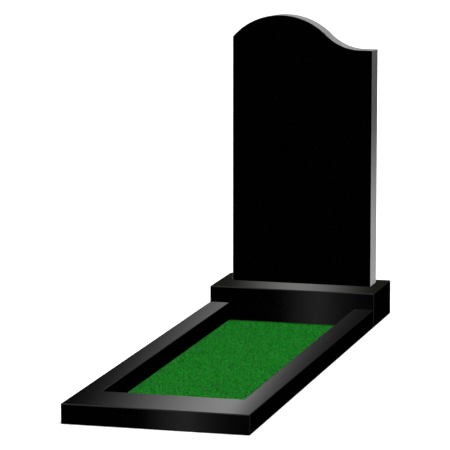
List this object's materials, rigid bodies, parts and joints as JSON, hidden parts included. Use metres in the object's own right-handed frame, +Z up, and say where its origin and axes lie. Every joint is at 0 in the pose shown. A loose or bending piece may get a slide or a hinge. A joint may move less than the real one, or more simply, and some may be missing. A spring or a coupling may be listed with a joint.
{
  "type": "headstone",
  "caption": "Polished black granite headstone with a wave-topped stele on a plinth and a low kerb framing a bed of artificial grass.",
  "frame": {"origin": "middle of the whole footprint at ground level", "axes": "+Z up, +Y from the foot of the bed towards the stele, +X to the right of someone facing the stele"},
  "size_m": [0.6, 2, 1.0871],
  "materials": {
    "stele_granite": "polished",
    "plinth_granite": "polished",
    "kerb_granite": "polished",
    "grass": "matte"
  },
  "bodies": {
    "root": {"stele": "stele_granite", "plinth": "plinth_granite", "kerb_front": "kerb_granite", "kerb_left": "kerb_granite", "kerb_right": "kerb_granite", "grass_mat": "grass"}
  },
  "joints": []
}
